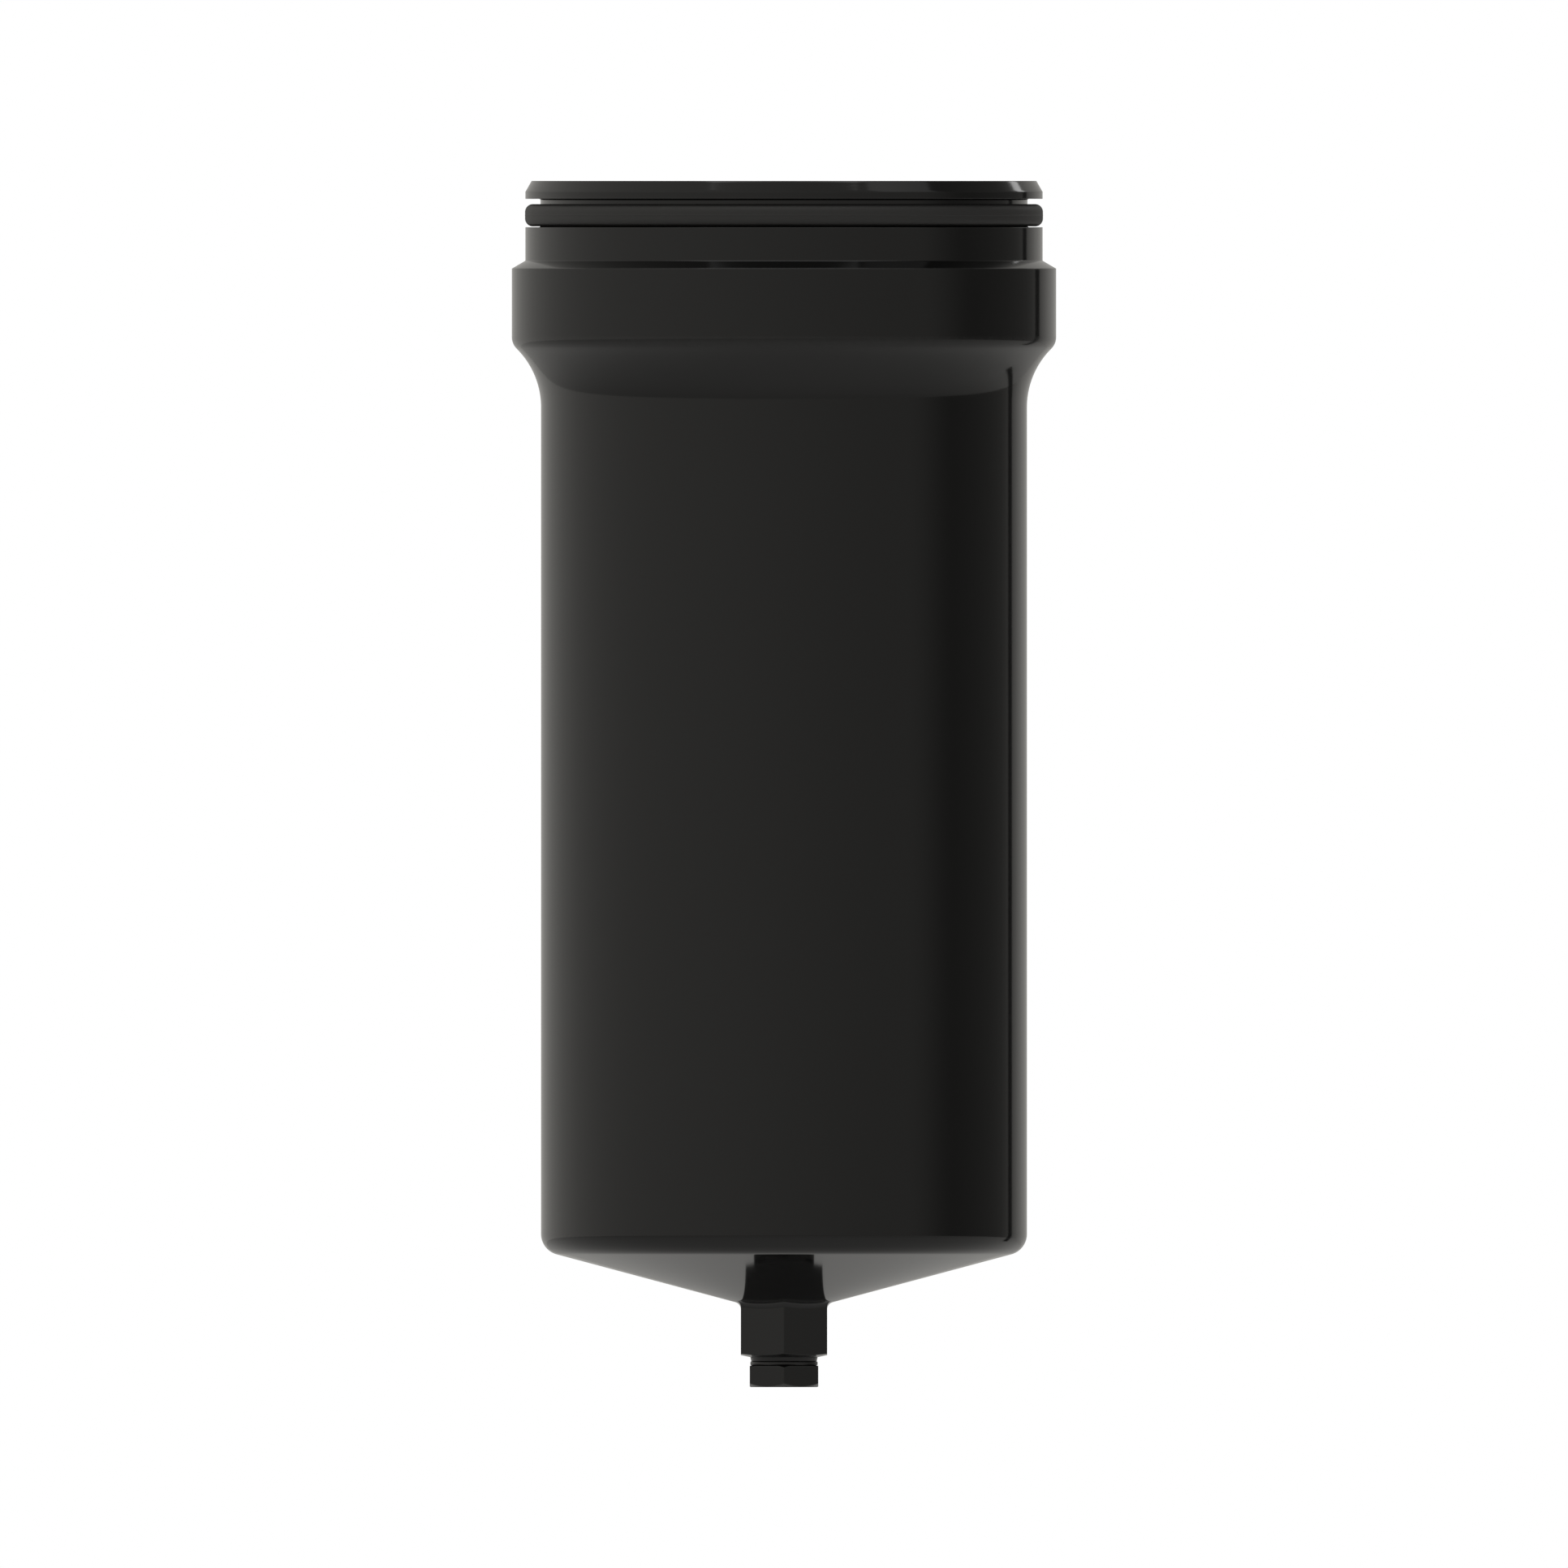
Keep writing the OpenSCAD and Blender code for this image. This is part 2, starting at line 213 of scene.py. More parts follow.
def outline(items, columns, closed):
    """Rows of points, each of shape (2, columns), with wear, along an outline of corners and arcs.

    The outline runs with the material on its left, in the (radius, height) plane.
    """
    knots = []
    for item in items:
        points = item.points if isinstance(item, Arc) else [(item.r, item.z)]
        for i, (r, z) in enumerate(points):
            knot = {"at": np.array([np.broadcast_to(r, columns), np.broadcast_to(z, columns)], float),
                    "round": 0.0 if isinstance(item, Arc) else item.round,
                    "wear": item.wear if isinstance(item, Arc) else 0.0,
                    "joined": isinstance(item, Arc) and i < len(points) - 1}
            knots.append(knot)
    runs = []
    for i, knot in enumerate(knots):
        if knot["round"]:
            before, after = knots[i - 1]["at"], knots[(i + 1) % len(knots)]["at"]
            points, wear = bend(before, knot["at"], after, knot["round"])
            inner = [wear] * len(points)
            inner[0] = inner[-1] = 0.3 * wear
            runs.append((points, inner))
        else:
            runs.append(([knot["at"]], [knot["wear"]]))
    rows, wears = [], []
    for i, (points, wear) in enumerate(runs):
        rows += points
        wears += wear
        if i + 1 < len(runs) or closed:
            if not knots[i]["joined"]:
                held = holding_rows(points[-1], runs[(i + 1) % len(runs)][0][0])
                rows += held
                wears += [0.0] * len(held)
    if closed:
        rows.append(rows[0])
        wears.append(wears[0])
    return rows, wears


def holding_rows(start, end):
    """Two rows just inside the ends of a straight run, where it is long enough."""
    length = np.linalg.norm(end - start, axis=0)
    if length.min() < 3 * EDGE_BREAK:
        return []
    share = np.minimum(HOLD / length, 0.3)
    return [start + (end - start) * share, end + (start - end) * share]


# One turn of a thread: (share of the pitch, share of the depth)
THREAD_FORM = (
    (0, 0), (0.125, 0), (0.25, 0), (0.406, 0.5),
    (0.5625, 1), (0.625, 1), (0.6875, 1), (0.844, 0.5),
)


def thread_patch(angles, low, high, thread, low_end="closed", high_end="closed"):
    """Right-handed thread between two heights. A closed end runs down to the root, as a
    bolt's end does, and an open one widens to the crest, as a countersunk hole does."""
    root, crest, pitch = thread
    depth = crest - root
    rows = []
    first = math.floor(low / pitch) - 1
    last = math.ceil(high / pitch) + 1
    for turn in range(first, last):
        for share, form in THREAD_FORM:
            height = np.clip((turn + share + angles / FULL_TURN) * pitch, low, high)
            rise = np.full(len(angles), form * depth)
            for end, away in ((low_end, height - low), (high_end, high - height)):
                rise = np.minimum(rise, away) if end == "closed" else np.maximum(rise, depth - away)
            rows.append(np.array([root + rise, height]))
    return rows, [0.0] * len(rows), len(THREAD_FORM)


def patch_geometry(angles, rows, wears, seam_rows=0):
    """Points, wear and faces of one patch. A thread's last column meets its first one
    seam_rows higher up."""
    count, columns = len(rows), len(angles)
    grid = np.zeros((count, columns, 3))
    for i, row in enumerate(rows):
        grid[i, :, 0] = row[0] * np.cos(angles)
        grid[i, :, 1] = row[0] * np.sin(angles)
        grid[i, :, 2] = row[1]
    faces = []
    for i in range(count - 1):
        for j in range(columns):
            if j + 1 < columns:
                right_low, right_high = (i, j + 1), (i + 1, j + 1)
            else:
                right_low = (min(i + seam_rows, count - 1), 0)
                right_high = (min(i + 1 + seam_rows, count - 1), 0)
            corners = ((i, j), right_low, right_high, (i + 1, j))
            faces.append(tuple(r * columns + c for r, c in corners))
    return grid.reshape(-1, 3), np.repeat(wears, columns), faces


def finish_mesh(name, points, wear, faces, weld=1e-4, sharp=SHARP_ANGLE):
    """Welds patches into one closed mesh with faces outward, smooth but for sharp edges."""
    mesh = bpy.data.meshes.new(name)
    mesh.from_pydata([Vector(p) * MM for p in points], [], faces)
    attribute = mesh.attributes.new("wear", "FLOAT", "POINT")
    attribute.data.foreach_set("value", np.asarray(wear, np.float32))
    bm = bmesh.new()
    bm.from_mesh(mesh)
    bmesh.ops.remove_doubles(bm, verts=bm.verts, dist=weld * MM)
    loose = [e for e in bm.edges if not e.link_faces]
    bmesh.ops.delete(bm, geom=loose, context="EDGES")
    bmesh.ops.recalc_face_normals(bm, faces=bm.faces)
    if bm.calc_volume(signed=True) < 0:
        bmesh.ops.reverse_faces(bm, faces=bm.faces)
    bm.to_mesh(mesh)
    bm.free()
    mesh.shade_smooth()
    mesh.set_sharp_from_angle(angle=math.radians(sharp))
    return mesh


def turned_mesh(name, angles, patches):
    """One mesh from patches, each (rows, wears) or (rows, wears, seam rows)."""
    points, wear, faces = [], [], []
    offset = 0
    for patch in patches:
        made, worn, quads = patch_geometry(angles, *patch)
        points.append(made)
        wear.append(worn)
        faces += [tuple(v + offset for v in q) for q in quads]
        offset += len(made)
    return finish_mesh(name, np.concatenate(points), np.concatenate(wear), faces)


def ring_mesh(name, corners, count=128):
    """A ring with no thread or hexagon, from the closed outline of its section."""
    angles = turn_angles(count)
    return turned_mesh(name, angles, [outline(corners, count, closed=True)])


def place(mesh, name, node, body, slot):
    """Makes a piece that stands for a CAD node."""
    piece = bpy.data.objects.new(name, mesh)
    bpy.context.scene.collection.objects.link(piece)
    mesh.materials.append(MATERIALS[slot])
    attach(piece, body)
    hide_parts(node)
    return piece


# ---------------------------------------------------------------------------
# Materials
# ---------------------------------------------------------------------------

class Nodes:
    """Short calls for building a node tree."""

    def __init__(self, tree):
        self.tree = tree
        tree.nodes.clear()

    def add(self, kind, inputs=None, **settings):
        node = self.tree.nodes.new(kind)
        for key, value in settings.items():
            setattr(node, key, value)
        for key, value in (inputs or {}).items():
            self.feed(node, key, value)
        return node

    def feed(self, node, key, value):
        """Links an output socket to an input, or sets the input's own value."""
        if isinstance(value, bpy.types.NodeSocket):
            self.tree.links.new(value, node.inputs[key])
        else:
            node.inputs[key].default_value = value

    def math(self, operation, a, b=0.0):
        node = self.add("ShaderNodeMath", {0: a, 1: b}, operation=operation)
        return node.outputs[0]

    def spread(self, value, low, high):
        """Maps 0 to 1 onto low to high."""
        node = self.add("ShaderNodeMapRange", {0: value, 3: low, 4: high})
        return node.outputs[0]

    def rise(self, value, low, high):
        """Smooth step from 0 at low to 1 at high."""
        node = self.add("ShaderNodeMapRange", {0: value, 1: low, 2: high},
                        interpolation_type="SMOOTHSTEP")
        return node.outputs[0]

    def noise(self, vector, scale, detail=2.0, roughness=0.5):
        node = self.add("ShaderNodeTexNoise",
                        {"Vector": vector, "Scale": scale, "Detail": detail, "Roughness": roughness})
        return node.outputs[0]

    def mix(self, factor, a, b):
        node = self.add("ShaderNodeMix", {0: factor, 6: a, 7: b}, data_type="RGBA")
        return node.outputs[2]

    def stretched(self, vector, x, y, z):
        node = self.add("ShaderNodeMapping", {"Vector": vector, "Scale": (x, y, z)})
        return node.outputs[0]


def grey(value, warmth=0.0):
    """A neutral colour, with a little warmth or coolness."""
    return (value * (1 + warmth), value, value * (1 - warmth), 1)


def surface(name, shader):
    """A material, its nodes, its shader and the point on the object in metres."""
    material = bpy.data.materials.new(name)
    material.use_nodes = True
    nodes = Nodes(material.node_tree)
    principled = nodes.add("ShaderNodeBsdfPrincipled", shader)
    nodes.add("ShaderNodeOutputMaterial", {"Surface": principled.outputs[0]})
    point = nodes.add("ShaderNodeTexCoord").outputs["Object"]
    return material, nodes, principled, point


def bump(nodes, principled, height, distance, strength=1.0):
    node = nodes.add("ShaderNodeBump", {"Height": height, "Distance": distance, "Strength": strength})
    nodes.feed(principled, "Normal", node.outputs[0])


def edge_wear(nodes, point, scale=900):
    """Wear on the outer edges, broken up by noise."""
    worn = nodes.add("ShaderNodeAttribute", attribute_name="wear").outputs["Fac"]
    broken = nodes.noise(point, scale, 3.0)
    return nodes.math("MULTIPLY", worn, broken)


def black_anodised():
    """Glossy sealed black on turned aluminium: faint turning marks, and edges rubbed a little."""
    material, nodes, shader, point = surface("black_anodised", {"IOR": 1.5, "Metallic": 0.0})
    cloud = nodes.noise(point, 35, 3.0)
    turned = nodes.noise(nodes.stretched(point, 20, 20, 2600), 1.0, 4.0, 0.6)
    wear = edge_wear(nodes, point)
    colour = nodes.mix(cloud, grey(0.0008, 0.03), grey(0.0016, -0.02))
    nodes.feed(shader, "Base Color", nodes.mix(nodes.math("MULTIPLY", wear, 0.35), colour, grey(0.05)))
    rough = nodes.spread(nodes.math("ADD", nodes.math("MULTIPLY", cloud, 0.6),
                                    nodes.math("MULTIPLY", turned, 0.4)), 0.06, 0.12)
    nodes.feed(shader, "Roughness", nodes.math("ADD", rough, nodes.math("MULTIPLY", wear, 0.2)))
    bump(nodes, shader, turned, 0.0000012)
    return material


def black_oxide():
    """Oiled black oxide on machined steel, a little duller than the bowl."""
    material, nodes, shader, point = surface("black_oxide", {"IOR": 1.48, "Metallic": 0.0})
    cloud = nodes.noise(point, 260, 4.0)
    tooled = nodes.noise(nodes.stretched(point, 60, 60, 5000), 1.0, 3.0, 0.6)
    wear = edge_wear(nodes, point, 2500)
    colour = nodes.mix(cloud, grey(0.002, 0.04), grey(0.004, -0.02))
    nodes.feed(shader, "Base Color", nodes.mix(nodes.math("MULTIPLY", wear, 0.5), colour, grey(0.09)))
    rough = nodes.spread(cloud, 0.18, 0.3)
    nodes.feed(shader, "Roughness", nodes.math("ADD", rough, nodes.math("MULTIPLY", wear, 0.15)))
    bump(nodes, shader, tooled, 0.000002)
    return material


def rubber(name, low, high, roughness):
    """Moulded nitrile rubber with a fine satin grain."""
    material, nodes, shader, point = surface(name, {"IOR": 1.52, "Metallic": 0.0})
    grain = nodes.noise(point, 9000, 3.0, 0.6)
    cloud = nodes.noise(point, 120, 3.0)
    nodes.feed(shader, "Base Color", nodes.mix(cloud, grey(low, 0.03), grey(high)))
    nodes.feed(shader, "Roughness", nodes.spread(cloud, roughness - 0.06, roughness + 0.06))
    bump(nodes, shader, grain, 0.000006)
    return material


def moulded_nylon():
    """Black glass-filled nylon with a slightly mottled skin."""
    material, nodes, shader, point = surface("moulded_nylon", {"IOR": 1.53, "Metallic": 0.0})
    fibres = nodes.noise(nodes.stretched(point, 2200, 5200, 5200), 1.0, 3.0, 0.6)
    cloud = nodes.noise(point, 400, 3.0)
    nodes.feed(shader, "Base Color", nodes.mix(fibres, grey(0.005), grey(0.011)))
    nodes.feed(shader, "Roughness", nodes.spread(cloud, 0.28, 0.42))
    bump(nodes, shader, fibres, 0.000004)
    return material


def machined_ptfe():
    """White PTFE with a waxy look and fine tool rings."""
    material, nodes, shader, point = surface(
        "machined_ptfe", {"IOR": 1.38, "Metallic": 0.0, "Subsurface Weight": 0.3,
                          "Subsurface Radius": (0.0006, 0.0006, 0.0005)})
    rings = nodes.noise(nodes.stretched(point, 300, 300, 9000), 1.0, 2.0)
    nodes.feed(shader, "Base Color", nodes.mix(rings, grey(0.72, 0.02), grey(0.8, 0.01)))
    nodes.feed(shader, "Roughness", nodes.spread(rings, 0.42, 0.55))
    bump(nodes, shader, rings, 0.000003)
    return material


def bright_steel(name, low, high, rough_low, rough_high, stretch):
    """Stainless or spring steel, with fine marks drawn out by the tool or the die."""
    material, nodes, shader, point = surface(name, {"Metallic": 1.0, "IOR": 2.5})
    marks = nodes.noise(nodes.stretched(point, *stretch), 1.0, 4.0, 0.6)
    cloud = nodes.noise(point, 500, 3.0)
    nodes.feed(shader, "Base Color", nodes.mix(cloud, grey(low, 0.03), grey(high, 0.015)))
    nodes.feed(shader, "Roughness", nodes.spread(marks, rough_low, rough_high))
    bump(nodes, shader, marks, 0.0000015)
    return material


MATERIALS = {
    "bowl_black": black_anodised(),
    "valve_black": black_oxide(),
    "nitrile_rubber": rubber("satin_nitrile", 0.019, 0.023, 0.58),
    "small_rubber": rubber("small_nitrile", 0.006, 0.009, 0.38),
    "nylon_black": moulded_nylon(),
    "ptfe_white": machined_ptfe(),
    "stainless": bright_steel("turned_stainless", 0.5, 0.6, 0.2, 0.34, (80, 80, 6000)),
    "spring_steel": bright_steel("drawn_spring_steel", 0.42, 0.52, 0.24, 0.36, (900, 900, 900)),
    "wire_cloth": bright_steel("wire_cloth_steel", 0.5, 0.62, 0.22, 0.34, (1500, 1500, 1500)),
}


# ---------------------------------------------------------------------------
# Bowl
# ---------------------------------------------------------------------------

def arc_points(centre_r, centre_z, radius, start, end, count):
    """Points of a circular arc in the (radius, height) plane, angles in degrees."""
    points = []
    for i in range(count + 1):
        angle = math.radians(start + (end - start) * i / count)
        points.append((centre_r + radius * math.cos(angle), centre_z + radius * math.sin(angle)))
    return points


def collar_arcs():
    """The hollow flare from the body up to the collar, and the collar's round lower edge."""
    flare_r = BODY_R + FLARE_R
    edge_r = COLLAR_R - COLLAR_EDGE_R
    reach = FLARE_R + COLLAR_EDGE_R
    slope = math.degrees(math.acos((flare_r - edge_r) / reach))
    edge_z = FLARE_Z + reach * math.sin(math.radians(slope))
    flare = arc_points(flare_r, FLARE_Z, FLARE_R, 180, 180 - slope, 20)
    edge = arc_points(edge_r, edge_z, COLLAR_EDGE_R, -slope, 0, 6)
    return Arc(flare), Arc(edge[1:], 0.5)


def bowl_mesh():
    angles = turn_angles(240, BOSS_FLAT)
    side = hexagon_radius(angles, BOSS_FLAT)
    heel_x = BODY_R - HEEL_R
    apex_z = (HEEL_Z - HEEL_R * math.cos(CONE_ANGLE)
              - (heel_x + HEEL_R * math.sin(CONE_ANGLE)) * CONE_TAN)
    floor_z = apex_z + WALL / math.cos(CONE_ANGLE)
    flare, edge = collar_arcs()
    inner_thread_top = BOSS_Z + 7.5
    items = [
        Corner(BOSS_THREAD[1], BOSS_Z),
        Corner(BOSS_FACE_R, BOSS_Z, EDGE_BREAK),
        Corner(side, BOSS_Z + (side - BOSS_FACE_R) * BOSS_FACE_TAN, EDGE_BREAK),
        Corner(side, apex_z + side * CONE_TAN, BOSS_BLEND),
        Corner(BODY_R, apex_z + BODY_R * CONE_TAN, HEEL_R),
        flare,
        edge,
        Corner(COLLAR_R, -SHOULDER_CHAMFER, EDGE_BREAK),
        Corner(NECK_R, 0, 0.15),
        Corner(NECK_R, GROOVE_LOW, EDGE_BREAK),
        Corner(GROOVE_R, GROOVE_LOW, 0.3),
        Corner(GROOVE_R, GROOVE_HIGH, 0.3),
        Corner(NECK_R, GROOVE_HIGH, EDGE_BREAK),
        Corner(NECK_R, RIM_Z - RIM_CHAMFER, EDGE_BREAK),
        Corner(RIM_TOP_R, RIM_Z, EDGE_BREAK),
        Corner(BORE_R + MOUTH_CHAMFER, RIM_Z, EDGE_BREAK),
        Corner(BORE_R, RIM_Z - MOUTH_CHAMFER, EDGE_BREAK),
        Corner(BORE_R, floor_z + BORE_R * CONE_TAN, INNER_HEEL_R),
        Corner(POCKET_R, floor_z + POCKET_R * CONE_TAN, EDGE_BREAK),
        Corner(POCKET_R, SNAP_GROOVE_HIGH),
        Corner(SNAP_GROOVE_R, SNAP_GROOVE_HIGH),
        Corner(SNAP_GROOVE_R, SNAP_GROOVE_LOW),
        Corner(POCKET_R, SNAP_GROOVE_LOW),
        Corner(POCKET_R, POCKET_Z, 0.2),
        Corner(SEAL_BORE_R, POCKET_Z, 0.15),
        Corner(SEAL_BORE_R, inner_thread_top),
    ]
    thread = thread_patch(angles, BOSS_Z, inner_thread_top, BOSS_THREAD, low_end="open")
    return turned_mesh("reservoir_bowl_shell", angles,
                       [outline(items, len(angles), closed=False), thread])


def bowl_seal_mesh():
    """Squeezed O-ring with the fine line where its mould parted."""
    corner = 1.45
    low, high, outer = seal_low.z, seal_high.z, seal_high.x
    inner = GROOVE_R + 0.02
    middle = (low + high) / 2
    line_w, line_h = 0.07, 0.035
    items = [
        Corner(outer, low, corner),
        Corner(outer, middle - line_w),
        Corner(outer + line_h, middle),
        Corner(outer, middle + line_w),
        Corner(outer, high, corner),
        Corner(inner, high, corner),
        Corner(inner, low, corner),
    ]
    return ring_mesh("bowl_seal_ring", items, 240)


# ---------------------------------------------------------------------------
# Drain bushing, seat and seals
# ---------------------------------------------------------------------------

SEAT_Z = seat_low.z
SPIGOT_R = BUSHING_THREAD[0]
STEM_BORE_R = 3.4
CHAMBER_R = 2.8
LEDGE_Z = BOSS_Z + 5.3     # stops the stem's clip
STEM_BORE_TOP = BOSS_Z + 3.2
SPIGOT_GROOVE_R = 3.65
SPIGOT_GROOVE_HIGH = bushing_high.z - 0.5
SPIGOT_GROOVE_LOW = SPIGOT_GROOVE_HIGH - 1.3
SMALL_SEAL_ROUND = 0.35


def bushing_mesh():
    angles = turn_angles(120)
    flange_r, foot, top = bushing_high.x, bushing_low.z, bushing_high.z
    thread_low, thread_high = BOSS_Z + 0.9, BOSS_Z + 7.3
    flange = [
        Corner(SEAT_THREAD[1], STEM_BORE_TOP),
        Corner(STEM_BORE_R, STEM_BORE_TOP),
        Corner(STEM_BORE_R, foot + 0.25),
        Corner(STEM_BORE_R + 0.25, foot),
        Corner(flange_r - 0.16, foot, EDGE_BREAK),
        Corner(flange_r, BOSS_Z, 0.04),
        Corner(SPIGOT_R, BOSS_Z),
        Corner(SPIGOT_R, thread_low),
    ]
    spigot = [
        Corner(SPIGOT_R, thread_high),
        Corner(SPIGOT_R, SPIGOT_GROOVE_LOW, 0.08),
        Corner(SPIGOT_GROOVE_R, SPIGOT_GROOVE_LOW, 0.12),
        Corner(SPIGOT_GROOVE_R, SPIGOT_GROOVE_HIGH, 0.12),
        Corner(SPIGOT_R, SPIGOT_GROOVE_HIGH, 0.08),
        Corner(SPIGOT_R, top - 0.2),
        Corner(SPIGOT_R - 0.2, top),
        Corner(seat_high.x + 0.02, top, 0.05),
        Corner(seat_high.x + 0.02, SEAT_Z),
        Corner(CHAMBER_R, SEAT_Z, 0.08),
        Corner(CHAMBER_R, LEDGE_Z, 0.08),
        Corner(SEAT_THREAD[0], LEDGE_Z),
    ]
    return turned_mesh("drain_bushing_threaded", angles, [
        outline(flange, len(angles), closed=False),
        outline(spigot, len(angles), closed=False),
        thread_patch(angles, thread_low, thread_high, BUSHING_THREAD),
        thread_patch(angles, STEM_BORE_TOP, LEDGE_Z, SEAT_THREAD, low_end="open"),
    ])


def small_seal_mesh(node, inner):
    """Squeezed O-ring of the valve, 1 mm in section."""
    low, high = node_box(node)
    corners = [(inner, low.z), (high.x, low.z), (high.x, high.z), (inner, high.z)]
    return ring_mesh(node + "_ring", [Corner(r, z, SMALL_SEAL_ROUND) for r, z in corners])


def seat_mesh():
    hole_r, mouth_r = 1.2, 1.6
    outer, low, high = seat_high.x, seat_low.z, seat_high.z
    return ring_mesh("valve_seat_ring", [
        Corner(mouth_r, low, 0.05),
        Corner(outer, low, 0.06),
        Corner(outer, high, 0.1),
        Corner(hole_r + 0.5, high, 0.05),
        Corner(hole_r, high - 0.35, 0.08),
        Corner(hole_r, low + mouth_r - hole_r, 0.08),
    ])


# ---------------------------------------------------------------------------
# Drain screw, washer, pad and clip
# ---------------------------------------------------------------------------

HEAD_TOP = BOSS_Z - 1.58
LAND_R = 3.35
STEM_GROOVE_R = 2.6
STEM_GROOVE_LOW = BOSS_Z + 1.15
STEM_GROOVE_HIGH = STEM_GROOVE_LOW + 1.3
NOSE_R, TIP_R, BUTTON_R = 1.6, 1.1, 1.5
NOSE_Z = SEAT_Z - 1.22
BUTTON_Z = NOSE_Z + 0.5
BUTTON_H = 0.25
CLIP_GROOVE_R = 1.25
CLIP_LIFT = 0.03           # keeps the clip just off the bushing's ledge at full travel
DUCT_R, CROSS_DUCT_R = 1.0, 0.5
CROSS_DUCT_Z = NOSE_Z - 0.7
PAD_PLAY = 0.05


def screw_mesh():
    angles = turn_angles(168, HEAD_FLAT)
    side = hexagon_radius(angles, HEAD_FLAT)
    low = screw_low.z
    outlet_high = washer_high.z - 0.3
    stem_root = STEM_THREAD[0]
    thread_low, thread_high = BOSS_Z + 3.3, BOSS_Z + 4.9
    land_top = BOSS_Z + 3.0
    upper_face_r = HEAD_FLAT + 0.5
    duct = [
        Corner(0, CROSS_DUCT_Z + DUCT_R * 0.6),
        Corner(DUCT_R, CROSS_DUCT_Z),
        Corner(DUCT_R, outlet_high + (OUTLET_R - DUCT_R) * 0.6),
        Corner(OUTLET_R, outlet_high),
    ]
    head_and_land = [
        Corner(OUTLET_THREAD[1], low),
        Corner(HEAD_FACE_R, low, 0.05),
        Corner(side, low + (side - HEAD_FACE_R) * HEX_CHAMFER_TAN, 0.05),
        Corner(side, HEAD_TOP - 0.05 - np.maximum(side - upper_face_r, 0) * HEX_CHAMFER_TAN, 0.03),
        Corner(np.minimum(side, upper_face_r) - 0.05, HEAD_TOP),
        Corner(LAND_R, HEAD_TOP, 0.1),
        Corner(LAND_R, STEM_GROOVE_LOW, 0.06),
        Corner(STEM_GROOVE_R, STEM_GROOVE_LOW, 0.12),
        Corner(STEM_GROOVE_R, STEM_GROOVE_HIGH, 0.12),
        Corner(LAND_R, STEM_GROOVE_HIGH, 0.06),
        Corner(LAND_R, land_top - 0.15),
        Corner(LAND_R - 0.15, land_top),
        Corner(stem_root, land_top, 0.1),
        Corner(stem_root, thread_low),
    ]
    nose = [
        Corner(stem_root, thread_high),
        Corner(stem_root, clip_low.z - 0.35),
        Corner(stem_root - 0.25, clip_low.z - 0.1),
        Corner(CLIP_GROOVE_R, clip_low.z - 0.1),
        Corner(CLIP_GROOVE_R, clip_high.z + 0.01),
        Corner(NOSE_R, clip_high.z + 0.01, 0.05),
        Corner(NOSE_R, NOSE_Z, 0.08),
        Corner(TIP_R, NOSE_Z, 0.1),
        Corner(TIP_R, BUTTON_Z, 0.05),
        Corner(BUTTON_R, BUTTON_Z, 0.05),
        Corner(BUTTON_R, BUTTON_Z + BUTTON_H / 2),
        Corner(BUTTON_R - BUTTON_H / 2, BUTTON_Z + BUTTON_H, 0.05),
        Corner(0, BUTTON_Z + BUTTON_H),
    ]
    mesh = turned_mesh("drain_screw_blank", angles, [
        outline(duct, len(angles), closed=False),
        thread_patch(angles, low, outlet_high, OUTLET_THREAD, low_end="open"),
        outline(head_and_land, len(angles), closed=False),
        thread_patch(angles, thread_low, thread_high, STEM_THREAD),
        outline(nose, len(angles), closed=False),
    ])
    return drilled_across(mesh, "drain_screw_threaded", CROSS_DUCT_Z, CROSS_DUCT_R)


def drilled_across(mesh, name, height, radius):
    """Cuts a round hole through the mesh along X."""
    drill = bpy.data.meshes.new("drill")
    bm = bmesh.new()
    bmesh.ops.create_cone(bm, cap_ends=True, segments=32, radius1=radius * MM, radius2=radius * MM,
                          depth=6 * MM, matrix=Matrix.Rotation(math.radians(90), 4, "Y"))
    bmesh.ops.translate(bm, verts=bm.verts, vec=(0, 0, height * MM))
    bm.to_mesh(drill)
    bm.free()
    blank = bpy.data.objects.new("blank", mesh)
    cutter = bpy.data.objects.new("cutter", drill)
    for thing in (blank, cutter):
        bpy.context.scene.collection.objects.link(thing)
    cut = blank.modifiers.new("cut", "BOOLEAN")
    cut.object, cut.operation, cut.solver = cutter, "DIFFERENCE", "EXACT"
    bpy.context.view_layer.update()
    made = bpy.data.meshes.new_from_object(blank.evaluated_get(bpy.context.evaluated_depsgraph_get()))
    for thing in (blank, cutter):
        bpy.data.objects.remove(thing)
    made.name = name
    made.set_sharp_from_angle(angle=math.radians(SHARP_ANGLE))
    return made


def washer_mesh():
    """Moulded washer with round edges, squeezed between the head and the bushing's flange."""
    outer, low, high = washer_high.x, HEAD_TOP, bushing_low.z
    inner = LAND_R + 0.07
    return ring_mesh("head_washer_ring", [
        Corner(inner, low, 0.12), Corner(outer, low, 0.3),
        Corner(outer, high, 0.3), Corner(inner, high, 0.12),
    ], 192)


def pad_mesh():
    """Soft pad that snaps over the stem's button and swivels on it."""
    low, high, outer = pad_low.z, pad_high.z, pad_high.x
    shoulder = high - 0.35
    cavity_top = BUTTON_Z + BUTTON_H + PAD_PLAY
    angles = turn_angles(96)
    rows = outline([
        Corner(0, cavity_top),
        Corner(BUTTON_R + PAD_PLAY, cavity_top, 0.05),
        Corner(BUTTON_R + PAD_PLAY, BUTTON_Z - PAD_PLAY),
        Corner(TIP_R + PAD_PLAY, BUTTON_Z - PAD_PLAY, 0.05),
        Corner(TIP_R + PAD_PLAY, low, 0.05),
        Corner(outer, low, 0.18),
        Corner(outer, shoulder, 0.18),
        Corner(1.35, shoulder),
        Corner(0.95, high, 0.08),
        Corner(0, high),
    ], len(angles), closed=False)
    return turned_mesh("valve_pad_turned", angles, [rows])


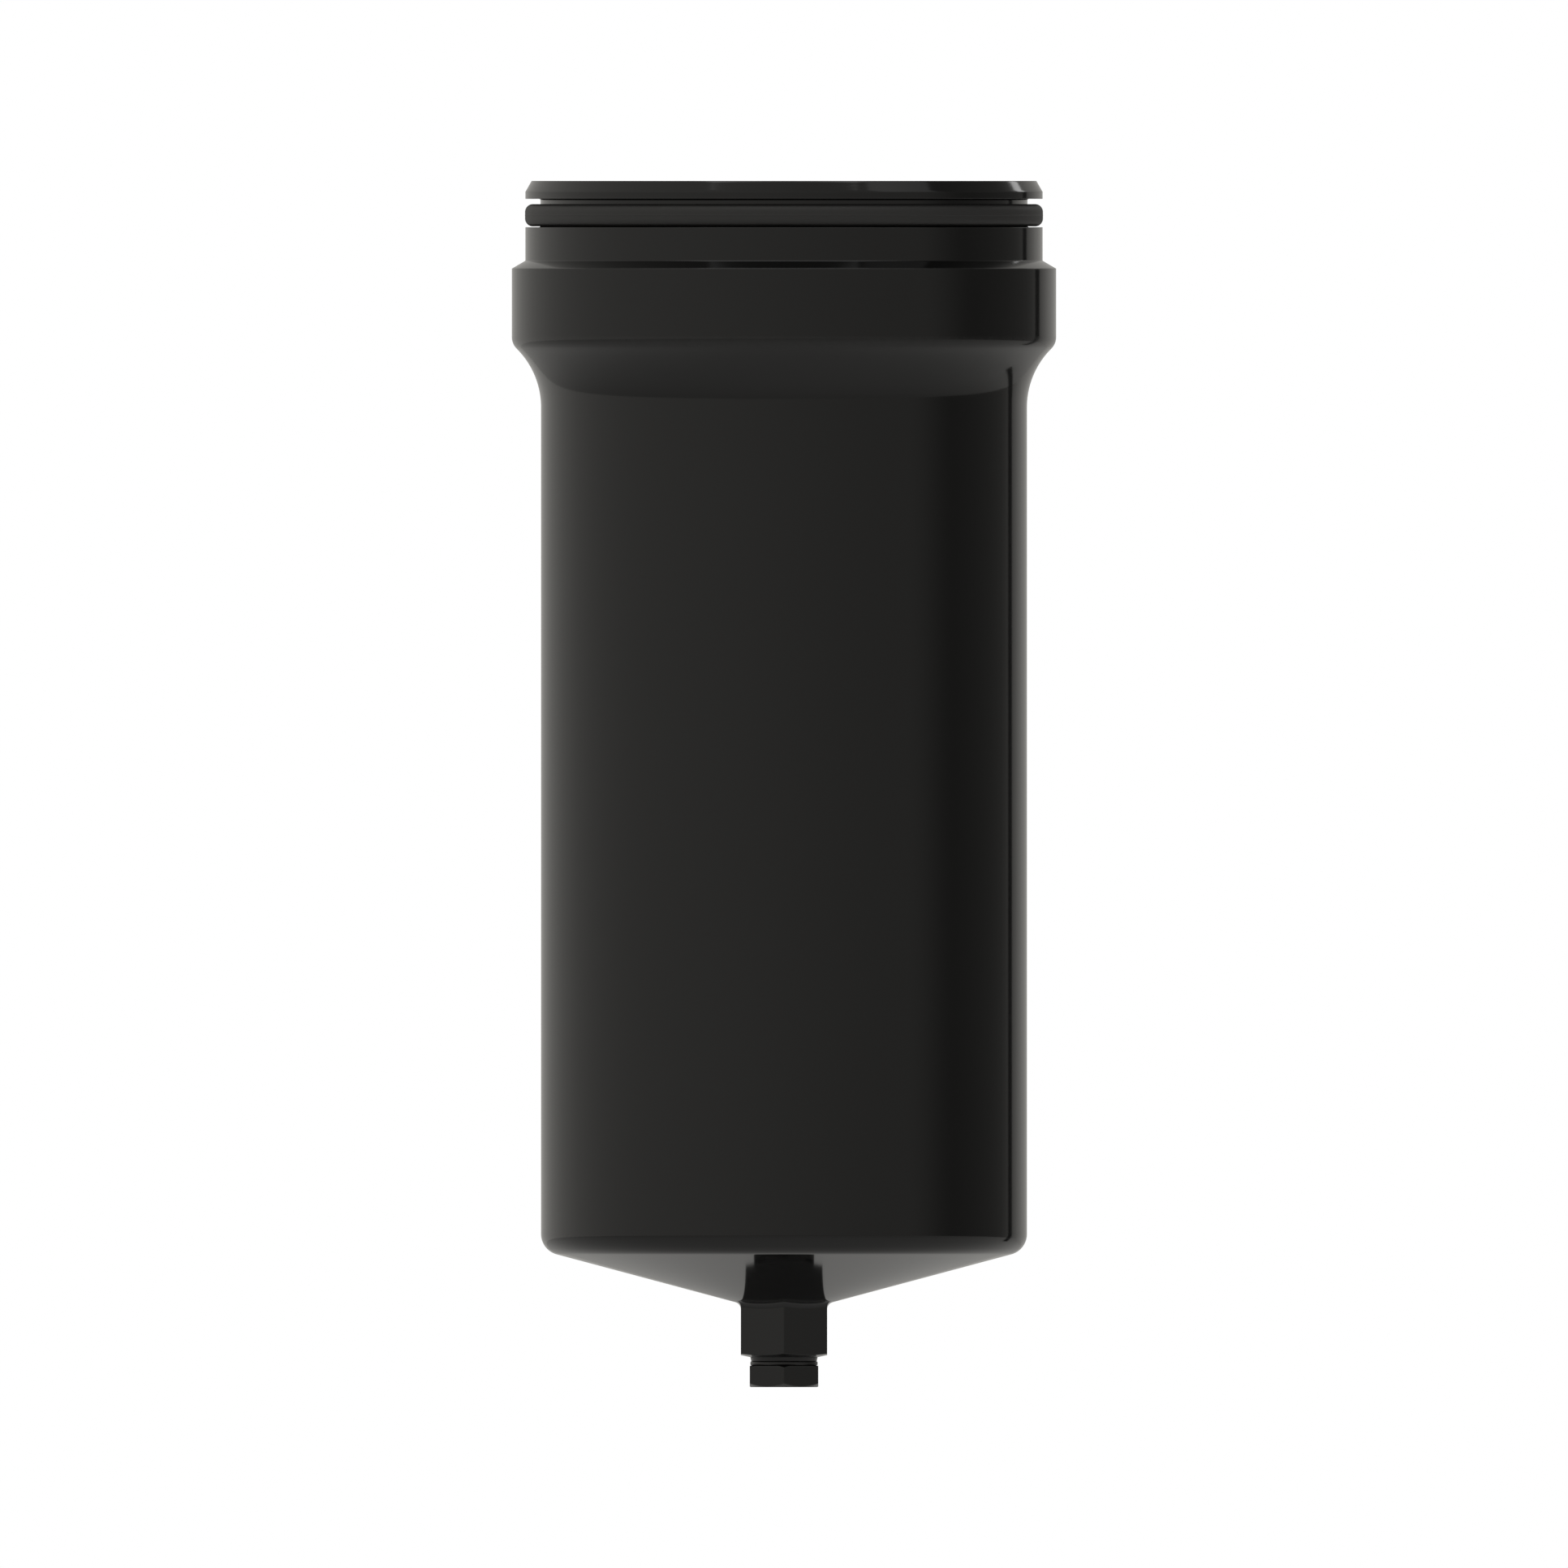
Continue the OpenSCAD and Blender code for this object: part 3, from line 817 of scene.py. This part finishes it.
def open_ring_mesh(name, section, gap_start, ends, steps=150):
    """Ring with a gap on +X. section is a closed loop of (radius, height), gap_start gives
    the angle at which a point of that radius starts, and ends are (share, scale) steps that
    round off both tips."""
    middle_r = sum(r for r, _ in section) / len(section)
    middle_z = sum(z for _, z in section) / len(section)
    stations = list(ends)
    stations += [(i / steps, 1.0) for i in range(1, steps)]
    stations += [(1 - share, scale) for share, scale in reversed(ends)]
    points = []
    for share, scale in stations:
        for r, z in section:
            radius = middle_r + (r - middle_r) * scale
            start = gap_start(radius)
            angle = start + (FULL_TURN - 2 * start) * share
            points.append((radius * math.cos(angle), radius * math.sin(angle),
                           middle_z + (z - middle_z) * scale))
    size = len(section)
    faces = [tuple(range(size)), tuple(range((len(stations) - 1) * size, len(stations) * size))]
    for i in range(len(stations) - 1):
        for j in range(size):
            k = (j + 1) % size
            faces.append((i * size + j, i * size + k, (i + 1) * size + k, (i + 1) * size + j))
    return finish_mesh(name, points, [0.0] * len(points), faces)


def stem_clip_mesh():
    """Flat snap ring with a parallel gap and slightly broken edges."""
    inner, outer = CLIP_GROOVE_R + 0.02, clip_high.y
    low, high, cut = clip_low.z + CLIP_LIFT, clip_high.z, 0.05
    half_gap = 0.6
    section = [
        (inner, low + cut), (inner + cut, low), (outer - cut, low), (outer, low + cut),
        (outer, high - cut), (outer - cut, high), (inner + cut, high), (inner, high - cut),
    ]
    return open_ring_mesh("stem_clip_ring", section, lambda r: math.asin(half_gap / r), [(0, 1.0)])


# ---------------------------------------------------------------------------
# Strainer
# ---------------------------------------------------------------------------

FRAME_HOLE_R = 4.6
FRAME_LIP_IN, FRAME_LIP_OUT = 5.05, 5.45
FRAME_PLATE = 0.8


def strainer_frame_mesh():
    """Flat ring with an upright lip that holds the gauze."""
    low, high, outer = frame_low.z, frame_high.z, frame_high.x
    plate = low + FRAME_PLATE
    return ring_mesh("strainer_frame_ring", [
        Corner(FRAME_HOLE_R, low, 0.1),
        Corner(outer, low, 0.1),
        Corner(outer, plate, 0.15),
        Corner(FRAME_LIP_OUT, plate, 0.12),
        Corner(FRAME_LIP_OUT, high, 0.15),
        Corner(FRAME_LIP_IN, high, 0.15),
        Corner(FRAME_LIP_IN, plate, 0.1),
        Corner(FRAME_HOLE_R, plate, 0.1),
    ], 160)


def snap_ring_mesh():
    """Round-wire snap ring with domed ends."""
    wire_r = (snap_high.z - snap_low.z) / 2
    centre_z = (snap_high.z + snap_low.z) / 2
    centre_r = snap_high.y - wire_r
    section = []
    for i in range(16):
        angle = FULL_TURN * i / 16
        section.append((centre_r + wire_r * math.cos(angle), centre_z + wire_r * math.sin(angle)))
    half_gap = math.radians(20)
    reach = wire_r / centre_r / (FULL_TURN - 2 * half_gap)
    ends = [(reach * (1 - math.cos(a)), max(math.sin(a), 0.03))
            for a in (0, math.radians(22), math.radians(45), math.radians(68), math.radians(90))]
    return open_ring_mesh("strainer_snap_ring", section, lambda r: half_gap, ends)


WIRE_R = 0.09
WIRE_PITCH = 0.55
HAT_ROUND = 1.5
HAT_R = gauze_high.x - 2 * WIRE_R
HAT_TOP = gauze_high.z - 2 * WIRE_R
HAT_FLAT_R = HAT_R - HAT_ROUND
HAT_BEND = HAT_ROUND * math.pi / 2
HAT_REACH = HAT_FLAT_R + HAT_BEND + HAT_TOP - HAT_ROUND - gauze_low.z - WIRE_R


def on_hat(x, y):
    """Where a point of the flat cloth lies once it is pressed into the hat, and its normal."""
    along = math.hypot(x, y)
    cos, sin = (x / along, y / along) if along else (1.0, 0.0)
    if along <= HAT_FLAT_R:
        r, z, lean = along, HAT_TOP, 0.0
    elif along <= HAT_FLAT_R + HAT_BEND:
        lean = (along - HAT_FLAT_R) / HAT_ROUND
        r = HAT_FLAT_R + HAT_ROUND * math.sin(lean)
        z = HAT_TOP - HAT_ROUND * (1 - math.cos(lean))
    else:
        lean = math.pi / 2
        r, z = HAT_R, HAT_TOP - HAT_ROUND - (along - HAT_FLAT_R - HAT_BEND)
    normal = Vector((math.sin(lean) * cos, math.sin(lean) * sin, math.cos(lean)))
    return Vector((r * cos, r * sin, z)), normal


def woven_wire(index, across):
    """Centre line of one wire, over and under its neighbours, with the cloth's normals."""
    offset = index * WIRE_PITCH
    reach = math.sqrt(HAT_REACH ** 2 - offset ** 2)
    steps = max(4, round(2 * reach / WIRE_PITCH * 4))
    lift = WIRE_R if (index % 2 == 0) != across else -WIRE_R
    line = []
    for i in range(steps + 1):
        t = -reach + 2 * reach * i / steps
        place_on, normal = on_hat(offset, t) if across else on_hat(t, offset)
        line.append((place_on + normal * lift * math.cos(math.pi * t / WIRE_PITCH), normal))
    return line


def wire_tube(line, sides=6):
    """Points and faces of one closed wire."""
    points, faces = [], []
    for i, (centre, normal) in enumerate(line):
        before, after = line[max(i - 1, 0)][0], line[min(i + 1, len(line) - 1)][0]
        along = (after - before).normalized()
        side = along.cross(normal).normalized()
        up = side.cross(along)
        for k in range(sides):
            angle = FULL_TURN * k / sides
            points.append(centre + (up * math.cos(angle) + side * math.sin(angle)) * WIRE_R)
    for i in range(len(line) - 1):
        for k in range(sides):
            n = (k + 1) % sides
            faces.append((i * sides + k, i * sides + n, (i + 1) * sides + n, (i + 1) * sides + k))
    last = (len(line) - 1) * sides
    faces.append(tuple(range(sides)))
    faces.append(tuple(range(last, last + sides)))
    return points, faces


def gauze_mesh():
    """Plain-woven wire cloth pressed into a hat, wire by wire."""
    points, faces = [], []
    count = int(HAT_REACH / WIRE_PITCH)
    for across in (False, True):
        for index in range(-count, count + 1):
            made, quads = wire_tube(woven_wire(index, across))
            faces += [tuple(v + len(points) for v in q) for q in quads]
            points += made
    return finish_mesh("strainer_cloth", points, [0.0] * len(points), faces, weld=1e-6, sharp=65)


# ---------------------------------------------------------------------------
# Pieces: (mesh, piece, CAD node, body, material slot)
# ---------------------------------------------------------------------------

PIECES = (
    (bowl_mesh(), "bowl_shell", "reservoir_bowl", "bowl", "bowl_black"),
    (bowl_seal_mesh(), "bowl_seal", "bowl_o_ring", "bowl", "nitrile_rubber"),
    (bushing_mesh(), "threaded_bushing", "drain_bushing", "bowl", "valve_black"),
    (small_seal_mesh("bushing_o_ring", SPIGOT_GROOVE_R + 0.02), "bushing_seal", "bushing_o_ring",
     "bowl", "small_rubber"),
    (seat_mesh(), "pressed_seat", "valve_seat", "bowl", "stainless"),
    (strainer_frame_mesh(), "strainer_ring", "strainer_frame", "bowl", "stainless"),
    (gauze_mesh(), "strainer_cloth", "strainer_gauze", "bowl", "wire_cloth"),
    (snap_ring_mesh(), "strainer_snap_ring", "strainer_clip", "bowl", "spring_steel"),
    (washer_mesh(), "sealing_washer", "head_washer", "drain_seals", "nylon_black"),
    (pad_mesh(), "soft_pad", "valve_pad", "drain_seals", "ptfe_white"),
    (screw_mesh(), "hex_drain_screw", "drain_screw", "drain_stem", "valve_black"),
    (small_seal_mesh("stem_o_ring", STEM_GROOVE_R + 0.02), "stem_seal", "stem_o_ring",
     "drain_stem", "small_rubber"),
    (stem_clip_mesh(), "stem_snap_ring", "stem_clip", "drain_stem", "spring_steel"),
)
for piece in PIECES:
    place(*piece)


# ---------------------------------------------------------------------------
# Camera, studio and floor
# ---------------------------------------------------------------------------

VIEW_WIDTH = 0.29038       # metres of the object's plane across the picture
VIEW_CENTRE = (0.0, -0.09691)
CAMERA_AWAY = 1.0
FLOOR_DROP = 0.3           # the bowl hangs this far above the floor
FLOOR_Z = cad_box[0].z - FLOOR_DROP
FLOOR_R = 2.4              # a round floor; the room shows past its edge in the gloss


def make_camera():
    data = bpy.data.cameras.new("camera")
    data.type = "ORTHO"
    data.ortho_scale = VIEW_WIDTH
    data.clip_end = 20
    camera = bpy.data.objects.new("camera", data)
    camera.location = (VIEW_CENTRE[0], -CAMERA_AWAY, VIEW_CENTRE[1])
    camera.rotation_euler = (math.radians(90), 0, 0)
    bpy.context.scene.collection.objects.link(camera)
    bpy.context.scene.camera = camera


def make_floor():
    mesh = bpy.data.meshes.new("floor")
    corners = [towards(angle, 0) * FLOOR_R + Vector((0, 0, FLOOR_Z)) for angle in range(0, 360, 3)]
    mesh.from_pydata(corners, [], [range(len(corners))])
    material, nodes, shader, point = surface("pale_floor", {"Roughness": 0.9, "Metallic": 0.0})
    nodes.feed(shader, "Base Color", nodes.mix(nodes.noise(point, 3, 2.0), grey(0.78), grey(0.8)))
    mesh.materials.append(material)
    floor = bpy.data.objects.new("floor", mesh)
    bpy.context.scene.collection.objects.link(floor)


# A white room round the bowl, a little brighter on the left, with one dark side on the right
SURROUND = 0.45
LEFT_LIFT = 0.1            # how much brighter the far left is, and the far right darker
DARK_SIDE = 0.15
DARK_FROM, DARK_TO = 75, 140   # degrees from the camera towards +X
DARK_EDGE = 15             # degrees over which the dark side fades in and out
ROOM_TINT = (1.02, 1.0, 0.95)


def room_light(value):
    return tuple(value * tint for tint in ROOM_TINT) + (1,)


def make_world():
    world = bpy.data.worlds.new("studio")
    bpy.context.scene.world = world
    world.use_nodes = True
    nodes = Nodes(world.node_tree)
    direction = nodes.add("ShaderNodeTexCoord").outputs["Generated"]
    x, y, _ = nodes.add("ShaderNodeSeparateXYZ", {0: direction}).outputs
    azimuth = nodes.math("ARCTAN2", x, nodes.math("MULTIPLY", y, -1.0))
    start, end, edge = [math.radians(angle) for angle in (DARK_FROM, DARK_TO, DARK_EDGE)]
    entered = nodes.rise(azimuth, start - edge, start + edge)
    left = nodes.rise(azimuth, end - edge, end + edge)
    in_dark = nodes.math("SUBTRACT", entered, left)
    to_left = nodes.math("SUBTRACT", 0.5, nodes.math("MULTIPLY", nodes.math("SINE", azimuth), 0.5))
    room = nodes.mix(to_left, room_light(SURROUND - LEFT_LIFT), room_light(SURROUND + LEFT_LIFT))
    light = nodes.mix(in_dark, room, room_light(DARK_SIDE))
    studio = nodes.add("ShaderNodeBackground", {"Color": light})
    white = nodes.add("ShaderNodeBackground", {"Color": (1, 1, 1, 1)})
    seen = nodes.add("ShaderNodeLightPath").outputs["Is Camera Ray"]
    both = nodes.add("ShaderNodeMixShader", {0: seen, 1: studio.outputs[0], 2: white.outputs[0]})
    nodes.add("ShaderNodeOutputWorld", {"Surface": both.outputs[0]})


def towards(azimuth, elevation):
    """Direction as the bowl sees it: azimuth from the camera towards +X."""
    a, e = math.radians(azimuth), math.radians(elevation)
    return Vector((math.sin(a) * math.cos(e), -math.cos(a) * math.cos(e), math.sin(e)))


def make_softbox(name, azimuth, elevation, distance, size, light):
    """A soft rectangular light that faces the bowl and has this brightness."""
    away = towards(azimuth, elevation)
    data = bpy.data.lights.new(name, "AREA")
    data.shape = "RECTANGLE"
    data.size, data.size_y = size
    data.energy = light * math.pi * size[0] * size[1]
    lamp = bpy.data.objects.new(name, data)
    lamp.location = (cad_box[0] + cad_box[1]) / 2 + away * distance
    lamp.rotation_mode = "QUATERNION"
    lamp.rotation_quaternion = away.to_track_quat("Z", "Y")
    lamp.visible_camera = False
    bpy.context.scene.collection.objects.link(lamp)


def make_flag(name, azimuth, distance, width, top, shade):
    """A matt dark board that stands on the floor and shows as a dark stripe in the gloss."""
    middle = towards(azimuth, 0) * distance
    side = Vector((0, 0, 1)).cross(middle).normalized() * width / 2
    foot, head = Vector((0, 0, FLOOR_Z)), Vector((0, 0, top))
    corners = [middle - side + foot, middle + side + foot, middle + side + head, middle - side + head]
    mesh = bpy.data.meshes.new(name)
    mesh.from_pydata(corners, [], [range(4)])
    material, nodes, shader, point = surface(name + "_felt", {"Roughness": 1.0, "Metallic": 0.0})
    felt = nodes.mix(nodes.noise(point, 40), grey(0.8 * shade), grey(1.2 * shade))
    nodes.feed(shader, "Base Color", felt)
    mesh.materials.append(material)
    flag = bpy.data.objects.new(name, mesh)
    bpy.context.scene.collection.objects.link(flag)
    flag.visible_camera = False


make_camera()
make_floor()
make_world()
# Lights: (name, azimuth, elevation, distance, size, brightness), in degrees and metres
make_softbox("front_softbox", 70, 50, 1.6, (0.6, 0.6), 0.4)
make_softbox("side_window", 140, 22, 1.6, (0.15, 0.3), 2.0)
make_softbox("top_softbox", 0, 90, 1.6, (1.5, 1.5), 1.3)
# Flag: (name, azimuth, distance, width, height of its top, shade)
make_flag("side_flag", 135, 1.2, 0.1, 0.3, 0.05)
bpy.context.scene.view_settings.view_transform = "Standard"
